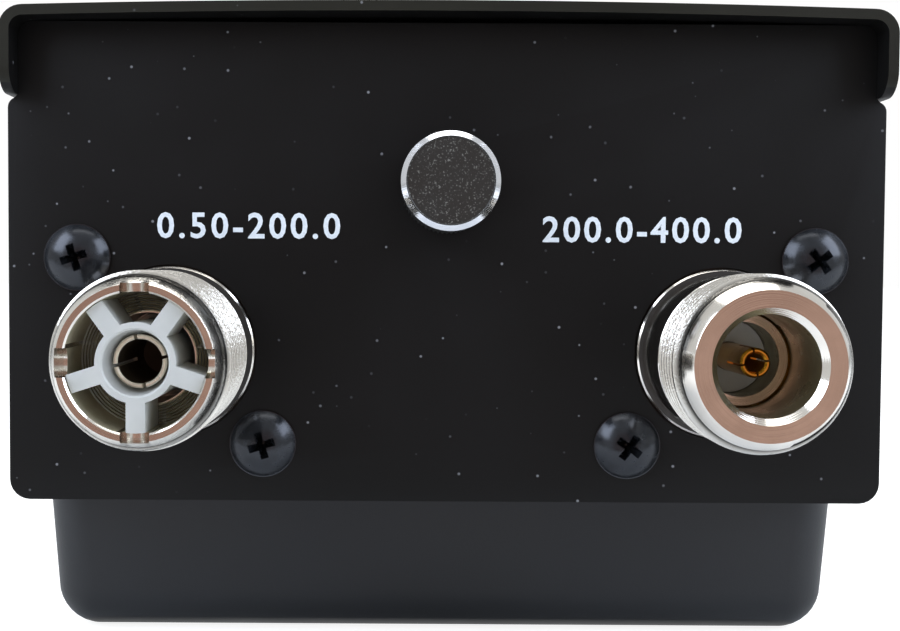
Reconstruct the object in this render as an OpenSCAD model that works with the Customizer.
// Hand-held antenna analyzer, lying on its back with its operating face up.
// X runs across the box, Y from the socket end to the far end, Z up.
// The origin is on the resting plane, in the middle of the overall length.

/* [Metal box] */
// Width of the folded box
body_w = 86; // [84:1:100]
// Length of the folded box
body_l = 180; // [178:1:230]
// Height of the box with its front panel on, at the panel's folds
body_h = 48; // [48:1:60]
// Sheet thickness of the box
wall_t = 1.2; // [1:0.1:1.5]
// Outside radius of the box's long lower edges
box_r = 2; // [1.6:0.1:3]

/* [Front panel] */
// Sheet thickness of the front panel
panel_t = 1; // [0.8:0.1:1.2]
// Outside radius of the panel's long folds
panel_r = 2.3; // [1.6:0.1:3]
// Depth of the panel's side flanges
flange_h = 8.2; // [8:0.2:12]
// Radius of the flanges' lower corners
flange_r = 2.4; // [1:0.2:3.6]
// How far the panel overhangs each end of the box
overhang = 2.8; // [1:0.2:4]
// Rise of the panel's middle over its folds
crown = 0.6; // [0.3:0.1:1]

/* [Battery case] */
// How far the battery case stands out below the box
case_h = 16; // [15:0.5:22]
// How far the sides of the battery case are set in from the box's
case_side = 0.6; // [0.5:0.1:2]
// How far each end of the battery case is set in from the box's
case_inset = 8; // [7:1:12]
// Radius of the battery case's edges
case_r = 4.8; // [4:0.2:6]
// Draft of the battery case over its height, each side
case_draft = 0.7; // [0.3:0.1:1]
// Wall and floor thickness of the battery case
case_wall = 2.2; // [2:0.1:2.6]
// How far the battery door is set back from the resting plane
door_recess = 0.3; // [0.2:0.1:0.4]
// Thickness of the ledge that the battery door slides on
door_ledge = 1.2; // [1:0.1:1.3]
// How far the door's tongues reach over their ledges
door_tongue = 2; // [1.5:0.1:2.5]

/* [Cells] */
// Diameter of a cell
cell_d = 14.5; // [13.5:0.1:15]
// Length of a cell with its nub
cell_l = 50.5; // [48:0.5:52]
// Room for the contact at each end of a cell
contact_room = 2.2; // [1.6:0.1:3]
// Rib thickness in the cell compartment
rib_t = 1.5; // [1:0.1:1.6]

/* [Sockets] */
// Distance of each socket's axis from the box's side
conn_in = 15.9; // [15:0.1:17]
// Height of the sockets' axes over the box's lower face
conn_z = 14.8; // [14:0.1:18]
// Outside diameter of the sockets' thread
thread_d = 15.88; // [15.7:0.01:16]
// Reach of the sockets from the end panel
conn_out = 16.5; // [15.5:0.5:19]
// Diameter of the panel holes that the sockets pass through
conn_hole_d = 18; // [17:0.1:18.6]
// Width of the sockets' square flanges
sock_flange_w = 25.4; // [24.5:0.1:26]
// Thickness of the sockets' flanges
sock_flange_t = 3.2; // [2.5:0.1:3.5]
// Spacing of the sockets' fixing holes
sock_pitch = 18.26; // [17.8:0.02:18.6]
// Depth of the chamfer at the sockets' rims, measured across the thread
rim_chamfer = 1.1; // [0.6:0.1:1.2]
// Length of the chamfer at the sockets' rims
rim_lead = 2.4; // [1:0.1:2.6]
// Length of the plain neck between the end panel and the left socket's thread
uhf_neck = 2.5; // [2:0.1:4]
// Bore of the left socket's shell
uhf_bore_d = 12.2; // [11.8:0.1:12.4]
// Diameter of the left socket's insulating hub
uhf_hub_d = 7; // [6.6:0.1:7.6]
// Width of the five insulating spokes
uhf_spoke_w = 2.1; // [1.5:0.1:2.6]
// Width of the four notches in the left socket's rim
uhf_notch_w = 2.5; // [2:0.1:3]
// Outside diameter of the left socket's centre contact
uhf_pin_d = 4.7; // [4.6:0.1:5.2]
// Bore of the left socket's centre contact
uhf_pin_bore = 4; // [3.8:0.1:4.1]
// Bore of the right socket's mouth
n_bore_d = 9; // [8.6:0.1:9.4]
// Bore of the right socket's outer conductor, deeper in
n_step_d = 7; // [6.4:0.1:7.4]
// Diameter of the smooth barrel behind the right socket's thread
n_barrel_d = 15.6; // [15:0.1:15.8]
// Length of the right socket's thread
n_thread_l = 5.4; // [5:0.1:6.5]
// Outside diameter of the right socket's centre contact
n_pin_d = 2.7; // [2.6:0.1:3.2]
// Bore of the right socket's centre contact
n_pin_bore = 1.7; // [1.5:0.1:1.8]

/* [Screws] */
// Shank diameter of the box and socket screws
screw_d = 3; // [2.6:0.1:3]
// Head diameter of the box and socket screws
head_d = 6.6; // [6:0.1:7]
// Head height of the box and socket screws
head_h = 1.7; // [1.4:0.1:2]
// Distance of the end side screws from the box's ends
side_screw_in = 16; // [12:1:24]

/* [Tuning knob] */
// Diameter of the tuning knob
tune_d = 9; // [8:0.5:12]
// Length of the tuning knob
tune_l = 10; // [8:0.5:13]
// Height of the tuning knob's axis over the box's lower face
tune_z = 30.9; // [29:0.1:32]
// Width of the knob's polished rim
tune_rim = 0.5; // [0.3:0.1:0.8]
// Diameter of the shafts
shaft_d = 6; // [5.5:0.1:6]

/* [Operating face] */
// Distance of the meter window from the box's sides
meter_side = 15; // [14.5:0.5:18]
// Length of the meter window
meter_l = 38; // [38:1:40]
// Distance of the meter's middle from the socket end panel
meter_at = 50; // [49:1:53]
// Depth of the meter below the front panel
meter_h = 18; // [17:0.5:19]
// Distance of the display window from the box's left side
lcd_left = 27; // [26:1:34]
// Length of the display window
lcd_l = 14; // [12:1:16]
// Distance of the display's middle from the socket end panel
lcd_at = 98; // [96:1:104]
// Diameter of the band knob
band_d = 26; // [22:1:30]
// Height of the band knob
band_l = 14; // [12:1:16]
// Distance of the band knob's axis from the socket end panel
band_at = 142; // [136:1:148]
// Distance of the power button's axis from the box's left side
button_in = 16; // [15:0.5:17]
// Diameter of the power button
button_d = 9; // [8:0.5:10]
// How far the power button stands out
button_out = 2.6; // [2:0.1:4]
// Travel of the power button
button_travel = 1.5; // [1:0.1:1.5]

/* [Boards] */
// Thickness of the circuit boards
board_t = 1.6; // [1.2:0.1:1.6]
// Gap between the front panel and the main board
main_gap = 10; // [9.5:0.5:12]
// Length of the measuring board
rf_l = 62; // [60:1:70]
// Width of the can over the measuring circuit
shield_w = 52; // [40:1:54]
// Length of the can over the measuring circuit
shield_l = 30; // [20:1:30]
// Height of the can over the measuring circuit
shield_h = 9; // [6:0.5:10]

/* [Power inlet] */
// Distance of the power inlet from the box's side
jack_in = 19; // [16:0.5:24]
// Side of the inlet's square body
jack_body = 11; // [10:0.5:12]
// Length of the inlet's body behind the far end
jack_l = 12; // [11:0.5:14]
// Bore of the inlet
jack_bore_d = 5.6; // [5.5:0.1:6.4]
// Diameter of the inlet's centre pin
jack_pin_d = 2; // [1.9:0.1:2.5]

/* [Fits] */
// Radial running clearance of a shaft in its bush
run_gap = 0.05; // [0.03:0.01:0.08]
// Clearance between pieces that are fixed together
gap = 0.05; // [0.02:0.01:0.1]
// Clearance around the sliding and pressed pieces
slide_gap = 0.2; // [0.15:0.05:0.3]

/* [Hidden] */
$fn = 64;
past = 1;

// Planes of the whole part
total_l = conn_out + body_l + overhang;
panel_y = conn_out - total_l / 2;
end_y = panel_y + body_l;
body_z = case_h;
deck_z = body_z + body_h - panel_t;
top_z = deck_z + panel_t;
floor_z = body_z + wall_t;
conn_axis_z = body_z + conn_z;
tune_axis_z = body_z + tune_z;
joggle_z = body_h - flange_h - panel_t - gap;
fold_half = body_w / 2 - panel_r;
screw_hole_r = screw_d / 2 + gap;
side_screw_z = body_z + body_h - flange_h / 2;
side_screw_ys = [panel_y + side_screw_in, panel_y + body_l / 2, end_y - side_screw_in];

// Cell compartment and battery door
case_w = body_w - 2 * case_side;
case_l = body_l - 2 * case_inset;
case_y = panel_y + case_inset;
case_end = case_y + case_l;
cell_pitch = cell_d + 0.6;
well_w = 3 * cell_pitch + 0.4;
row_l = cell_l + 2 * contact_room;
well_l = 2 * row_l + rib_t;
well_y = case_y + (case_l - well_l) / 2;
slot_top = case_wall;
cell_z = slot_top + 0.3 + cell_d / 2;
roof_z = cell_z + cell_d / 2 + slide_gap;
door_w = well_w + 2 * rib_t;
door_y = well_y - 2;
boss_r = 3;
boss_x = case_w / 2 - case_draft - case_r - 1.2;
boss_ys = [case_y + 10, case_end - 10];
case_screw_d = 2.5;

// Sockets
conn_x = body_w / 2 - conn_in;
flange_back = wall_t + sock_flange_t;
thread_r = thread_d / 2;
screw_off = sock_pitch / 2;
nut_t = 2.4;
uhf_rim_d = thread_d - 2 * rim_chamfer;
uhf_face = conn_out - 1.8;
uhf_floor = 3;
n_face = conn_out - 4.6;
n_thread_start = conn_out - rim_lead - n_thread_l;
tail_r = 1.2;
tail_end = flange_back + 9;

// Boards
rim_w = 3;
main_z = deck_z - main_gap;
board_x = body_w / 2 - wall_t - panel_t - 2.8;
post_x = board_x - 4;
main_y = panel_y + meter_at + meter_l / 2 + rim_w + 6;
main_l = end_y - wall_t - 5 - main_y;
main_post_ys = [main_y + 4, main_y + main_l - 4];
rf_z = conn_axis_z - tail_r - gap;
rf_y = panel_y + flange_back + 5.5;
rf_post_ys = [rf_y + 20, rf_y + rf_l - 4];
post_r = 2.6;
post_hole_r = 1.3;
board_screw_d = 2.5;
chip_h = 2;

// Tuning control
bracket_y = rf_y + 2;
bracket_t = 1.2;
bracket_w = 22;
bush_r = shaft_d / 2 + 0.6;
pot_r = 8;
pot_l = 9;
tune_stand_off = 0.6;

// Meter
meter_w = body_w - 2 * meter_side;
meter_y = panel_y + meter_at;
meter_case_w = meter_w + 2 * rim_w;
meter_case_l = meter_l + 2 * rim_w;
lens_t = 1;
lens_rim = 2;
meter_top = deck_z - lens_t - gap;
meter_bottom = deck_z - meter_h;
meter_wall = 1.5;
scale_t = 0.8;
scale_z = meter_top - 6;
ear_x = meter_case_w / 2 + 3;
ear_t = 2;
stud_r = 1.2;
needle_in = 12;
needle_x = meter_w / 2 - needle_in;
needle_y = meter_y + meter_l / 2 - 4;
needle_l = 30;
needle_rest = 22;
needle_t = 0.4;
pivot_r = 0.6;
swr_needle_z = scale_z + scale_t + 1;
impedance_needle_z = swr_needle_z + 1.2;

// Operating face
window_r = 1;
lcd_w = body_w - lcd_left - meter_side;
lcd_x = (lcd_left - meter_side) / 2;
lcd_y = panel_y + lcd_at;
band_y = panel_y + band_at;
button_x = button_in - body_w / 2;
button_y = lcd_y;
switch_h = 6;
stem_r = 1.5;
stem_in = 1.5;
band_bush_r = shaft_d / 2 + 1.3;
band_nut_h = 2;
band_body_r = 11;
jack_x = body_w / 2 - jack_in;
jack_z = body_z + body_h / 2;
jack_r = 4;
jack_out = 2.6;
jack_nut_h = 2;

// Height of the panel's bow over its folds, at a distance x from the middle
function bow(x) = let (r = (fold_half * fold_half + crown * crown) / (2 * crown)) sqrt(r * r - x * x) - (r - crown);

// Height of the front panel's underside at a distance x from the middle
function deck_at(x) = deck_z + bow(x);

// Both sides of the box's middle plane
module both_sides() {
    children();
    mirror([1, 0, 0]) children();
}

// A section drawn in x and z, drawn out along Y
module along_y(y, l) {
    translate([0, y + l, 0]) rotate([90, 0, 0]) linear_extrude(l) children();
}

// A piece drawn on its own axis, standing out of the socket end panel
module on_end_panel(x, z) {
    translate([x, panel_y, z]) rotate([90, 0, 0]) children();
}

// A piece drawn on its own axis, standing out of the far end
module on_far_end(x, z) {
    translate([x, end_y, z]) rotate([-90, 0, 0]) children();
}

module rounded_plate(w, l, h, r) {
    linear_extrude(h) {
        square([w - 2 * r, l], center = true);
        square([w, l - 2 * r], center = true);
        for (x = [-1, 1], y = [-1, 1]) translate([x * (w / 2 - r), y * (l / 2 - r)]) circle(r);
    }
}

// Ring or bush on the Z axis
module ring(r_out, r_in, h) {
    difference() {
        cylinder(r = r_out, h = h);
        translate([0, 0, -past]) cylinder(r = r_in, h = h + 2 * past);
    }
}

module hex_nut(flats, r_in, h) {
    difference() {
        cylinder(r = flats / 2 / cos(30), h = h, $fn = 6);
        translate([0, 0, -past]) cylinder(r = r_in, h = h + 2 * past);
    }
}

// Truss-head screw with a cross recess, its head on z = 0 and its shank below
module truss_screw(d, l, hd, hh) {
    dome_r = (hd * hd / 4 + hh * hh) / (2 * hh);
    recess_l = hd * 0.46;
    difference() {
        intersection() {
            translate([0, 0, hh - dome_r]) sphere(dome_r);
            cylinder(r = hd / 2, h = hh);
        }
        for (a = [0, 90]) rotate(a) translate([-recess_l / 2, -hd * 0.06, hh * 0.3]) cube([recess_l, hd * 0.12, hh]);
    }
    translate([0, 0, -l]) cylinder(d = d, h = l);
}

// Section of the box: narrowed at the top by the panel's thickness, through an S-shaped joggle,
// with its upper corners rounded to fit inside the panel's folds
module box_section(w, h, r, joggle) {
    half = w / 2;
    q = panel_t / 2;
    top_r = panel_r - panel_t + gap;
    translate([-half + r, 0]) square([w - 2 * r, r]);
    translate([-half, r]) square([w, joggle - r]);
    translate([-half + panel_t, r]) square([w - 2 * panel_t, h - top_r - r]);
    translate([-half + panel_t + top_r, r]) square([w - 2 * panel_t - 2 * top_r, h - r]);
    both_sides() {
        translate([half - panel_t - top_r, h - top_r]) circle(top_r);
        translate([half - r, r]) circle(r);
        translate([half - q, joggle]) circle(q);
        difference() {
            translate([half - panel_t - q, joggle - q]) square([panel_t, 3 * q]);
            translate([half - q, joggle + 2 * q]) circle(q);
        }
    }
}

// Section of the front panel: folded sides, and a top that bows up by the crown
module panel_section(w, h, r, below) {
    half = w / 2 - r;
    steps = 24;
    translate([-w / 2, -below]) square([w, h - r + below]);
    both_sides() translate([half, h - r]) circle(r);
    polygon(concat([[half, -below], [-half, -below]],
        [for (i = [0 : steps]) let (x = (2 * i / steps - 1) * half) [x, h + bow(x)]]));
}

// Holes of one socket in the end panel; side is -1 for the left socket and 1 for the right
module socket_screw_places(side) {
    for (k = [-1, 1]) on_end_panel(side * (conn_x + k * screw_off), conn_axis_z + k * screw_off) children();
}

module chassis() {
    window_w = well_w + 2 * rib_t + 2 * slide_gap;
    window_l = well_l + 2 * rib_t + 2 * slide_gap;
    color("#232425") difference() {
        along_y(panel_y, body_l) translate([0, body_z]) box_section(body_w, body_h - panel_t, box_r, joggle_z);
        along_y(panel_y + wall_t, body_l - 2 * wall_t) translate([0, floor_z])
            box_section(body_w - 2 * wall_t, body_h, box_r - wall_t / 2, joggle_z - 1.5 * wall_t);
        for (side = [-1, 1]) {
            on_end_panel(side * conn_x, conn_axis_z) translate([0, 0, -2 * wall_t])
                cylinder(d = conn_hole_d, h = 3 * wall_t);
            socket_screw_places(side) translate([0, 0, -2 * wall_t]) cylinder(r = screw_hole_r, h = 3 * wall_t);
        }
        on_end_panel(0, tune_axis_z) translate([0, 0, -2 * wall_t]) cylinder(r = shaft_d / 2 + 0.5, h = 3 * wall_t);
        on_far_end(jack_x, jack_z) translate([0, 0, -2 * wall_t]) cylinder(r = jack_r + gap, h = 3 * wall_t);
        translate([-window_w / 2, well_y - rib_t - slide_gap, body_z - past]) cube([window_w, window_l, wall_t + 2 * past]);
        for (x = [-boss_x, boss_x], y = boss_ys)
            translate([x, y, body_z - past]) cylinder(d = case_screw_d + 2 * gap, h = wall_t + 2 * past);
        for (x = [-post_x, post_x], y = rf_post_ys)
            translate([x, y, body_z - past]) cylinder(r = post_r - 0.8 + gap, h = wall_t + 2 * past);
        for (y = side_screw_ys) both_sides() translate([body_w / 2 + past, y, side_screw_z]) rotate([0, -90, 0])
            cylinder(r = screw_hole_r, h = wall_t + panel_t + 4);
    }
}

module front_panel() {
    flange_z = body_z + body_h - flange_h;
    color("#26272a") difference() {
        union() {
            difference() {
                along_y(panel_y - overhang, body_l + 2 * overhang) translate([0, flange_z]) difference() {
                    panel_section(body_w, flange_h, panel_r, 0);
                    panel_section(body_w - 2 * panel_t, flange_h - panel_t, panel_r - panel_t, past);
                }
                translate([0, (panel_y + end_y) / 2, flange_z]) for (far = [0, 1]) mirror([0, far, 0])
                    translate([-body_w, -body_l / 2 - overhang, 0]) rotate([90, 0, 90]) linear_extrude(2 * body_w)
                        difference() {
                            translate([-past, -past]) square(flange_r + past);
                            translate([flange_r, flange_r]) circle(flange_r);
                        }
            }
            // welded studs that hold the meter
            for (x = [-ear_x, ear_x], y = [-1, 1]) translate([x, meter_y + y * meter_l / 4, meter_top - ear_t - 4])
                cylinder(r = stud_r, h = deck_at(ear_x) + panel_t / 2 - meter_top + ear_t + 4);
        }
        translate([0, meter_y, deck_z - past]) rounded_plate(meter_w + 2 * gap, meter_l + 2 * gap, 4 * past, 2 * window_r);
        translate([lcd_x, lcd_y, deck_z - past]) rounded_plate(lcd_w + 2 * gap, lcd_l + 2 * gap, 4 * past, window_r);
        translate([0, band_y, deck_z - past]) cylinder(r = band_bush_r + gap, h = 4);
        translate([button_x, button_y, deck_z - past]) cylinder(r = button_d / 2 + slide_gap, h = 4);
        for (y = side_screw_ys) both_sides() translate([body_w / 2 + past, y, side_screw_z]) rotate([0, -90, 0])
            cylinder(r = screw_hole_r, h = panel_t + 2);
    }
}

// Quarter-round dome for the lower corners of the battery case
module corner_dome() {
    rotate_extrude($fn = 32) intersection() {
        circle(case_r, $fn = 32);
        translate([0, -case_r]) square([case_r, 2 * case_r]);
    }
}

module case_outside() {
    hull() for (x = [-1, 1], y = [-1, 1]) translate([0, (case_y + case_end) / 2, 0]) {
        translate([x * (case_w / 2 - case_r), y * (case_l / 2 - case_r), case_h - past])
            cylinder(r = case_r, h = past, $fn = 32);
        translate([x * (case_w / 2 - case_r - case_draft), y * (case_l / 2 - case_r - case_draft), case_r])
            corner_dome();
    }
}

// Space that the battery door slides in, or with clear = 0 the door's own section
module door_section(clear) {
    low = clear > 0 ? -past : door_recess;
    translate([-door_w / 2 - clear, low]) square([door_w + 2 * clear, slot_top - gap - low + (clear > 0 ? gap : 0)]);
    wide = door_w + 2 * door_tongue + 2 * clear;
    bottom = door_ledge + (clear > 0 ? 0 : gap);
    translate([-wide / 2, bottom]) square([wide, slot_top - bottom - (clear > 0 ? 0 : gap)]);
}

module battery_case() {
    inset = case_wall + case_draft;
    rail_w = door_w / 2 + door_tongue + slide_gap + case_wall;
    inner_end = case_end - inset;
    color("#2c2e30") difference() {
        union() {
            difference() {
                case_outside();
                translate([0, (case_y + case_end) / 2, case_wall])
                    rounded_plate(case_w - 2 * inset, case_l - 2 * inset, case_h, case_r - case_wall / 2);
            }
            // rails over the door, and the walls and roof of the cell compartment
            translate([-rail_w, door_y - case_wall, case_wall / 2])
                cube([2 * rail_w, inner_end + case_wall / 2 - door_y + case_wall, case_wall + 1]);
            translate([-well_w / 2 - rib_t, well_y - rib_t, case_wall])
                cube([well_w + 2 * rib_t, well_l + 2 * rib_t, roof_z + rib_t - case_wall]);
            for (x = [-boss_x, boss_x], y = boss_ys) translate([x, y, case_wall / 2])
                cylinder(r = boss_r, h = case_h - case_wall / 2);
        }
        for (row = [0, 1]) translate([-well_w / 2, well_y + row * (row_l + rib_t), case_wall - past])
            cube([well_w, row_l, roof_z - case_wall + past]);
        along_y(door_y - slide_gap, case_end + past - door_y) door_section(slide_gap);
        for (x = [-boss_x, boss_x], y = boss_ys) translate([x, y, case_wall + 2])
            cylinder(d = case_screw_d + 2 * gap, h = case_h);
    }
}

module battery_door() {
    grips = 5;
    color("#303234") difference() {
        intersection() {
            case_outside();
            along_y(door_y, case_end + past - door_y) door_section(0);
        }
        for (i = [0 : grips - 1]) translate([-9, case_end - case_r - 6 - 2.4 * i, 0]) cube([18, 1.2, door_recess + 0.4]);
    }
}

// Each cell's place; even and odd cells point opposite ways
module cell_places() {
    for (col = [-1 : 1], row = [0, 1])
        translate([col * cell_pitch, well_y + row_l / 2 + row * (row_l + rib_t), cell_z])
            rotate([(col + row) % 2 == 0 ? 90 : -90, 0, 0]) children();
}

module battery_cells() {
    nub_l = 1.3;
    color("#b8bcc0") cell_places() {
        translate([0, 0, -cell_l / 2]) cylinder(d = cell_d, h = cell_l - nub_l);
        translate([0, 0, cell_l / 2 - nub_l - 0.2]) cylinder(d = 5.5, h = nub_l + 0.2);
    }
}

module battery_contacts() {
    plate_t = 0.4;
    plate_w = 9;
    rise = contact_room - plate_t - gap;
    leaf_r = (16 + rise * rise) / (2 * rise);
    color("#c9ccd0") cell_places() {
        translate([-plate_w / 2, -plate_w / 2, cell_l / 2 + contact_room - plate_t - gap / 2]) cube([plate_w, plate_w, plate_t]);
        translate([0, 0, cell_l / 2 + gap]) cylinder(r = 2, h = rise - gap / 2);
        translate([-plate_w / 2, -plate_w / 2, -cell_l / 2 - contact_room + gap / 2]) cube([plate_w, plate_w, plate_t]);
        // bowed leaf spring under the cell's flat end
        translate([0, 2.5, -cell_l / 2 - gap]) rotate([90, 0, 0]) linear_extrude(5) intersection() {
            translate([0, -leaf_r]) difference() {
                circle(leaf_r);
                circle(leaf_r - 0.3);
            }
            translate([-plate_w / 2, -rise]) square([plate_w, rise]);
        }
    }
}

// Square flange behind the end panel, with its four fixing holes
module socket_flange() {
    translate([0, 0, -flange_back]) difference() {
        rounded_plate(sock_flange_w, sock_flange_w, sock_flange_t - gap, 1.5);
        for (x = [-1, 1], y = [-1, 1]) translate([x * screw_off, y * screw_off, -past])
            cylinder(r = screw_hole_r, h = sock_flange_t + 2 * past);
    }
}

module uhf_shell() {
    notch_depth = 1.6;
    notch_reach = uhf_rim_d / 2;
    color("#c8c8c6") on_end_panel(-conn_x, conn_axis_z) difference() {
        union() {
            socket_flange();
            translate([0, 0, -flange_back]) cylinder(r = thread_r - 0.3, h = flange_back + uhf_neck + past);
            translate([0, 0, uhf_neck]) cylinder(r = thread_r, h = conn_out - rim_lead - uhf_neck);
            translate([0, 0, conn_out - rim_lead]) cylinder(r1 = thread_r, r2 = uhf_rim_d / 2, h = rim_lead);
        }
        translate([0, 0, uhf_floor]) cylinder(d = uhf_bore_d, h = conn_out);
        translate([0, 0, -flange_back - past]) cylinder(r = uhf_hub_d / 2 + gap, h = conn_out);
        for (a = [0 : 90 : 270]) rotate(a) translate([uhf_bore_d / 2 - past, -uhf_notch_w / 2, conn_out - notch_depth])
            cube([notch_reach - uhf_bore_d / 2 + past, uhf_notch_w, notch_depth + past]);
    }
}

module uhf_insulator() {
    cup = 0.6;
    color("#e6e9ea") on_end_panel(-conn_x, conn_axis_z) difference() {
        union() {
            translate([0, 0, -flange_back - 3]) cylinder(d = uhf_hub_d, h = flange_back + 3 + uhf_face);
            translate([0, 0, uhf_floor + gap]) linear_extrude(uhf_face - uhf_floor - gap) intersection() {
                for (a = [-90 : 72 : 198]) rotate(a) translate([0, -uhf_spoke_w / 2])
                    square([uhf_bore_d / 2, uhf_spoke_w]);
                circle(uhf_bore_d / 2 - gap);
            }
        }
        translate([0, 0, -flange_back - 4]) cylinder(r = uhf_pin_d / 2 + gap, h = flange_back + 4 + conn_out);
        translate([0, 0, uhf_face - cup]) cylinder(r1 = uhf_pin_d / 2 + gap, r2 = uhf_pin_d / 2 + cup, h = cup + 0.01);
    }
}

// Split socket contact with a solid tail that reaches over the board behind it
module socket_contact(d, bore, face, bore_l, split_l, slit, tail) {
    difference() {
        union() {
            translate([0, 0, -flange_back - 3]) cylinder(d = d, h = flange_back + 3 + face);
            translate([0, 0, -tail_end]) cylinder(r = tail, h = tail_end);
        }
        translate([0, 0, face - bore_l]) cylinder(d = bore, h = bore_l + past);
        for (a = [10, 100]) rotate(a) translate([-d, -slit / 2, face - split_l]) cube([2 * d, slit, split_l + past]);
    }
}

module uhf_contact() {
    color("#b9b7b2") on_end_panel(-conn_x, conn_axis_z)
        socket_contact(uhf_pin_d, uhf_pin_bore, uhf_face - 0.5, 11, 8, 0.3, tail_r);
}

module n_shell() {
    groove_w = 0.8;
    mouth = 0.6;
    rim_d = thread_d - 2.4 * rim_chamfer;
    color("#cfcfcd") on_end_panel(conn_x, conn_axis_z) difference() {
        union() {
            socket_flange();
            translate([0, 0, -flange_back]) cylinder(d = n_barrel_d, h = flange_back + n_thread_start - groove_w);
            translate([0, 0, -flange_back]) cylinder(d = n_barrel_d - 1.2, h = flange_back + n_thread_start + past);
            translate([0, 0, n_thread_start]) cylinder(r = thread_r, h = n_thread_l);
            translate([0, 0, conn_out - rim_lead]) cylinder(r1 = thread_r, r2 = rim_d / 2, h = rim_lead);
        }
        translate([0, 0, conn_out - 9.2]) cylinder(d = n_bore_d, h = 10);
        translate([0, 0, conn_out - mouth]) cylinder(d1 = n_bore_d, d2 = n_bore_d + 2 * mouth + 0.02, h = mouth + 0.01);
        translate([0, 0, -flange_back - past]) cylinder(d = n_step_d, h = flange_back + conn_out);
    }
}

module n_insulator() {
    color("#eceae4") on_end_panel(conn_x, conn_axis_z) translate([0, 0, -flange_back - 3])
        ring(n_step_d / 2 - gap, n_pin_d / 2 + gap, flange_back + 3 + 3);
}

module n_contact() {
    color("#d9a441") on_end_panel(conn_x, conn_axis_z)
        socket_contact(n_pin_d, n_pin_bore, n_face, 6, 4.5, 0.18, 1);
}

module connector_screws() {
    color("#1b1b1d") for (side = [-1, 1]) socket_screw_places(side) translate([0, 0, gap])
        truss_screw(screw_d, flange_back + nut_t + 1, head_d, head_h);
}

module connector_nuts() {
    color("#b5b7ba") for (side = [-1, 1]) socket_screw_places(side) translate([0, 0, -flange_back - gap - nut_t])
        hex_nut(5.5, screw_hole_r, nut_t);
}

module lid_screws() {
    color("#1b1b1d") for (y = side_screw_ys) both_sides() translate([body_w / 2 + gap, y, side_screw_z])
        rotate([0, 90, 0]) truss_screw(screw_d, panel_t + wall_t + 3, head_d, head_h);
}

module case_screws() {
    color("#9a9da0") for (x = [-boss_x, boss_x], y = boss_ys) translate([x, y, floor_z + gap])
        truss_screw(case_screw_d, wall_t + 8, 5, 1.5);
}

module tuning_knob() {
    face_r = tune_d / 2;
    color("#1c1c1e") on_end_panel(0, tune_axis_z) translate([0, 0, tune_stand_off]) difference() {
        union() {
            cylinder(r = face_r, h = tune_l - tune_rim);
            translate([0, 0, tune_l - tune_rim]) cylinder(r1 = face_r, r2 = face_r - tune_rim, h = tune_rim);
        }
        translate([0, 0, -past]) cylinder(r = shaft_d / 2 + gap, h = tune_l - 2 + past);
    }
}

module tuning_shaft() {
    reach = tune_stand_off + tune_l - 2.2;
    back = bracket_y + bracket_t + pot_l - 1.5 - panel_y;
    color("#bfc1c3") on_end_panel(0, tune_axis_z) translate([0, 0, -back]) cylinder(d = shaft_d, h = back + reach);
}

// Potentiometer on its bracket, with a threaded bush that the shaft turns in
module tuning_pot() {
    color("#8b8f93") translate([0, bracket_y + bracket_t + gap, tune_axis_z]) rotate([90, 0, 0]) difference() {
        union() {
            translate([0, 0, -pot_l]) cylinder(r = pot_r, h = pot_l);
            cylinder(r = bush_r, h = bracket_t + 4);
            translate([-5, -pot_r - 3, -5]) cube([10, 4, 1.6]);
        }
        translate([0, 0, 1 - pot_l]) cylinder(r = shaft_d / 2 + run_gap, h = pot_l + bracket_t + 5);
    }
}

module tuning_nut() {
    color("#c4c6c8") translate([0, bracket_y - gap, tune_axis_z]) rotate([90, 0, 0]) hex_nut(10, bush_r + gap, 2);
}

module bracket_screw_places() {
    for (x = [-7, 7]) translate([x, bracket_y + 8, rf_z]) children();
}

module tuning_bracket() {
    foot_l = 12;
    color("#a9adb1") difference() {
        union() {
            translate([-bracket_w / 2, bracket_y, rf_z + gap])
                cube([bracket_w, bracket_t, tune_axis_z + pot_r + 1 - rf_z]);
            translate([-bracket_w / 2, bracket_y, rf_z + gap]) cube([bracket_w, foot_l, bracket_t]);
        }
        translate([0, bracket_y + 2 * bracket_t, tune_axis_z]) rotate([90, 0, 0]) cylinder(r = bush_r + gap, h = 3 * bracket_t);
        bracket_screw_places() translate([0, 0, -past]) cylinder(r = 1 + gap, h = 4);
    }
}

module bracket_screws() {
    color("#9a9da0") bracket_screw_places() translate([0, 0, bracket_t + 2 * gap]) truss_screw(2, bracket_t + board_t + 1, 4, 1.2);
}

module band_knob() {
    skirt = 4;
    z = deck_at(0) + panel_t + 0.5;
    color("#1c1c1e") translate([0, band_y, z]) difference() {
        union() {
            cylinder(d = band_d, h = 3);
            cylinder(d1 = band_d - 3, d2 = band_d - 5, h = band_l);
            // grip rib that points at the chosen band
            translate([-1.5, -band_d / 2 + 1, 0]) cube([3, band_d / 2, band_l]);
        }
        translate([0, 0, -past]) cylinder(r = 8.5, h = skirt + past);
        cylinder(r = shaft_d / 2 + gap, h = band_l - 2);
    }
}

module band_shaft() {
    z = deck_at(0) - main_gap + 2.5;
    color("#bfc1c3") translate([0, band_y, z]) cylinder(d = shaft_d, h = deck_at(0) + panel_t + band_l - 2 - z);
}

module band_switch() {
    top = deck_at(band_body_r) - gap;
    color("#6f7478") translate([0, band_y, main_z + gap]) difference() {
        union() {
            cylinder(r = band_body_r, h = top - main_z - gap);
            cylinder(r = band_bush_r, h = deck_at(0) + panel_t + band_nut_h + 0.8 - main_z);
        }
        translate([0, 0, 2]) cylinder(r = shaft_d / 2 + run_gap, h = main_gap + 10);
    }
}

module band_nut() {
    color("#c4c6c8") translate([0, band_y, deck_at(0) + panel_t + gap]) hex_nut(12, band_bush_r + gap, band_nut_h);
}

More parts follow.
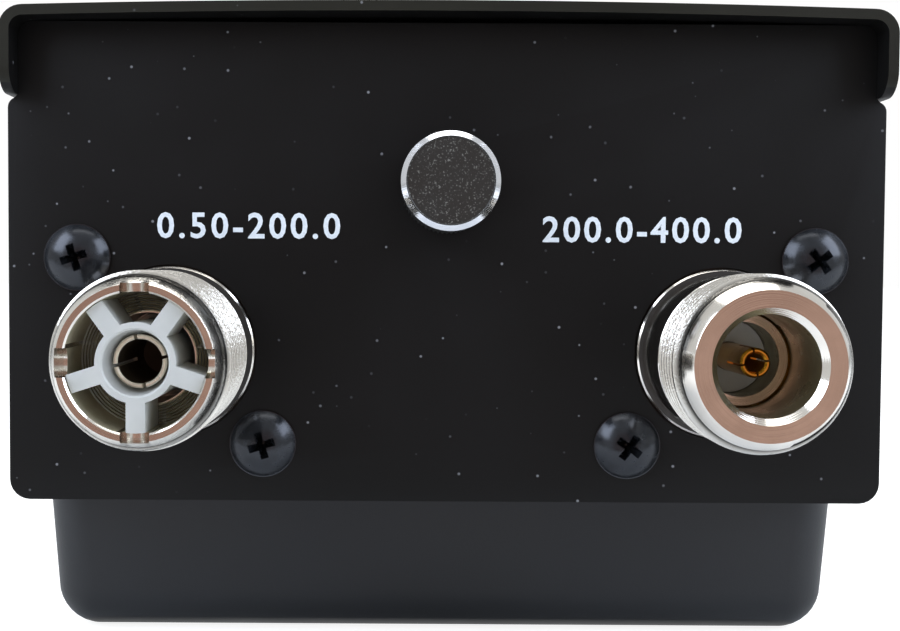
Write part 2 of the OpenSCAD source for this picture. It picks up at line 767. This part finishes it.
module power_button() {
    collar_top = deck_at(abs(button_x) + button_d / 2 + 1) - gap;
    collar_h = 1;
    stem_end = main_z + switch_h - stem_in;
    edge = 0.4;
    cap_l = top_z + button_out - edge - collar_top + collar_h;
    color("#1c1c1e") translate([button_x, button_y, collar_top - collar_h]) {
        cylinder(d = button_d + 2, h = collar_h);
        rotate_extrude() polygon([[0, 0], [button_d / 2, 0], [button_d / 2, cap_l], [button_d / 2 - edge, cap_l + edge],
            [0, cap_l + edge]]);
        translate([0, 0, stem_end - collar_top + collar_h]) cylinder(r = stem_r, h = collar_top - collar_h / 2 - stem_end);
    }
}

module power_switch() {
    side = 8;
    color("#2e3033") translate([button_x, button_y, main_z + gap]) difference() {
        translate([-side / 2, -side / 2, 0]) cube([side, side, switch_h]);
        translate([0, 0, switch_h - stem_in - button_travel - 0.5]) cylinder(r = stem_r + run_gap, h = switch_h);
    }
}

module meter_case() {
    color("#1a1a1b") difference() {
        union() {
            translate([0, meter_y, meter_bottom]) difference() {
                rounded_plate(meter_case_w, meter_case_l, meter_top - meter_bottom, 2);
                translate([0, 0, meter_wall])
                    rounded_plate(meter_case_w - 2 * meter_wall, meter_case_l - 2 * meter_wall, meter_h, 1);
            }
            // ears for the studs
            for (x = [-1, 1], y = [-1, 1]) translate([x * ear_x, meter_y + y * meter_l / 4, meter_top - ear_t])
                translate([-3.4, -3, 0]) cube([6.8, 6, ear_t]);
            // posts under the dial plate
            for (x = [-1, 1], y = [-1, 1])
                translate([x * (meter_case_w / 2 - meter_wall - 1), meter_y + y * (meter_case_l / 2 - meter_wall - 1), meter_bottom])
                    cylinder(r = 2, h = scale_z - gap - meter_bottom);
        }
        for (x = [-ear_x, ear_x], y = [-1, 1]) translate([x, meter_y + y * meter_l / 4, meter_top - ear_t - past])
            cylinder(r = stud_r + gap, h = ear_t + 2 * past);
    }
}

// Clear window: a thick middle that fills the panel's opening, and a thin rim under the panel.
// far_x is the distance of its furthest side from the box's middle.
module window(w, l, r, far_x) {
    rounded_plate(w + 2 * lens_rim, l + 2 * lens_rim, lens_t - gap, lens_rim);
    rounded_plate(w, l, lens_t + panel_t + deck_at(far_x) - deck_z, r);
}

module meter_window() {
    color("#dfe8ee", 0.4) translate([0, meter_y, deck_z - lens_t]) window(meter_w, meter_l, 2 * window_r, meter_w / 2);
}

module meter_scale() {
    color("#f1f0e8") difference() {
        translate([0, meter_y, scale_z]) rounded_plate(meter_case_w - 2 * meter_wall - 2 * gap,
            meter_case_l - 2 * meter_wall - 2 * gap, scale_t, 1);
        for (x = [-needle_x, needle_x]) translate([x, needle_y, scale_z - past]) cylinder(r = pivot_r + 0.4, h = 4);
    }
}

module meter_movements() {
    body_r = 6.2;
    color("#9ea2a6") {
        for (x = [-needle_x, needle_x]) translate([x, needle_y - 3, meter_bottom + meter_wall])
            cylinder(r = body_r, h = scale_z - gap - meter_bottom - meter_wall);
        translate([-needle_x, needle_y, scale_z - 2]) cylinder(r = pivot_r, h = swr_needle_z + 1.4 - scale_z + 2);
        translate([needle_x, needle_y, scale_z - 2]) cylinder(r = pivot_r, h = impedance_needle_z + 1.4 - scale_z + 2);
    }
}

module meter_nuts() {
    color("#b5b7ba") for (x = [-ear_x, ear_x], y = [-1, 1])
        translate([x, meter_y + y * meter_l / 4, meter_top - ear_t - gap - 2]) hex_nut(5, stud_r + gap, 2);
}

// Needle on its hub, drawn at rest: it leans out by needle_rest
module needle(lean) {
    hub_r = 1.5;
    rotate(lean) difference() {
        union() {
            cylinder(r = hub_r, h = 1);
            translate([-0.35, -needle_l, 0]) cube([0.7, needle_l, needle_t]);
            translate([-0.8, 0, 0]) cube([1.6, 4, needle_t]);
        }
        translate([0, 0, -past]) cylinder(r = pivot_r + run_gap, h = 3);
    }
}

module swr_needle() {
    color("#101010") translate([-needle_x, needle_y, swr_needle_z]) needle(-needle_rest);
}

module impedance_needle() {
    color("#101010") translate([needle_x, needle_y, impedance_needle_z]) needle(needle_rest);
}

module lcd_window() {
    color("#cfd8d2", 0.4) translate([lcd_x, lcd_y, deck_z - lens_t]) window(lcd_w, lcd_l, window_r, lcd_x + lcd_w / 2);
}

module lcd_module() {
    color("#5d6b52") translate([lcd_x, lcd_y, main_z + gap]) rounded_plate(lcd_w + 2 * lens_rim, lcd_l + 3 * lens_rim, main_gap - lens_t - 2 * gap, 0.5);
}

// Circuit board with clearance holes for its screws
module board(y, z, l, post_ys) {
    difference() {
        translate([-board_x, y, z - board_t]) cube([2 * board_x, l, board_t]);
        for (x = [-post_x, post_x], py = post_ys) translate([x, py, z - board_t - past])
            cylinder(r = post_hole_r + gap, h = board_t + 2 * past);
    }
}

module main_board() {
    color("#2f6b45") {
        board(main_y, main_z, main_l, main_post_ys);
        // controller, regulator and a connector on the underside
        for (c = [[-0.47, 0.33, 12], [0.4, 0.24, 9], [0.24, 0.53, 16]])
            translate([c[0] * board_x - c[2] / 2, main_y + c[1] * main_l, main_z - board_t - chip_h])
                cube([c[2], c[2] * 0.8, chip_h + 0.01]);
    }
}

module main_standoffs() {
    color("#b9bcbf") for (x = [-post_x, post_x], y = main_post_ys) translate([x, y, main_z + gap])
        ring(post_r, post_hole_r, deck_at(post_x + post_r) - gap - main_z - gap);
}

module main_screws() {
    color("#9a9da0") for (x = [-post_x, post_x], y = main_post_ys) translate([x, y, main_z - board_t - gap])
        rotate([180, 0, 0]) truss_screw(board_screw_d, board_t + 6, 5, 1.5);
}

module rf_board() {
    color("#2f6b45") difference() {
        board(rf_y, rf_z, rf_l, rf_post_ys);
        bracket_screw_places() translate([0, 0, -board_t - past]) cylinder(r = 1 + gap, h = board_t + 2 * past);
    }
}

// Swaged spacers: a spigot in the box's floor and a threaded body under the board
module rf_standoffs() {
    color("#b9bcbf") for (x = [-post_x, post_x], y = rf_post_ys) translate([x, y, body_z]) difference() {
        union() {
            cylinder(r = post_r - 0.8, h = wall_t + 1);
            translate([0, 0, wall_t + gap]) cylinder(r = post_r, h = rf_z - board_t - 2 * gap - floor_z);
        }
        translate([0, 0, wall_t + 1]) cylinder(r = post_hole_r, h = rf_z);
    }
}

module rf_screws() {
    color("#9a9da0") for (x = [-post_x, post_x], y = rf_post_ys) translate([x, y, rf_z + gap])
        truss_screw(board_screw_d, board_t + 6, 5, 1.5);
}

// Folded tin can over the measuring circuit
module rf_shield() {
    can_t = 0.4;
    color("#aeb2b5") translate([-shield_w / 2, rf_post_ys[0] + post_r + 1.4, rf_z + gap]) difference() {
        cube([shield_w, shield_l, shield_h]);
        translate([can_t, can_t, -past]) cube([shield_w - 2 * can_t, shield_l - 2 * can_t, shield_h - can_t + past]);
    }
}

module dc_jack() {
    bore_l = jack_l - 3;
    color("#1e1e20") on_far_end(jack_x, jack_z) {
        difference() {
            union() {
                translate([-jack_body / 2, -jack_body / 2, -wall_t - gap - jack_l]) cube([jack_body, jack_body, jack_l]);
                translate([0, 0, -wall_t - past]) cylinder(r = jack_r, h = wall_t + past + jack_out);
            }
            translate([0, 0, -bore_l]) cylinder(d = jack_bore_d, h = jack_l + past);
        }
        translate([0, 0, -bore_l - 0.5]) cylinder(d = jack_pin_d, h = bore_l + 0.5 + jack_out / 2);
    }
}

module dc_nut() {
    color("#c4c6c8") on_far_end(jack_x, jack_z) translate([0, 0, gap]) hex_nut(jack_body, jack_r + gap, jack_nut_h);
}

chassis();
front_panel();
battery_case();
battery_door();
battery_cells();
battery_contacts();
uhf_shell();
uhf_insulator();
uhf_contact();
n_shell();
n_insulator();
n_contact();
connector_screws();
connector_nuts();
lid_screws();
case_screws();
tuning_knob();
tuning_shaft();
tuning_pot();
tuning_nut();
tuning_bracket();
bracket_screws();
band_knob();
band_shaft();
band_switch();
band_nut();
power_button();
power_switch();
meter_case();
meter_window();
meter_scale();
meter_movements();
meter_nuts();
swr_needle();
impedance_needle();
lcd_window();
lcd_module();
main_board();
main_standoffs();
main_screws();
rf_board();
rf_standoffs();
rf_screws();
rf_shield();
dc_jack();
dc_nut();
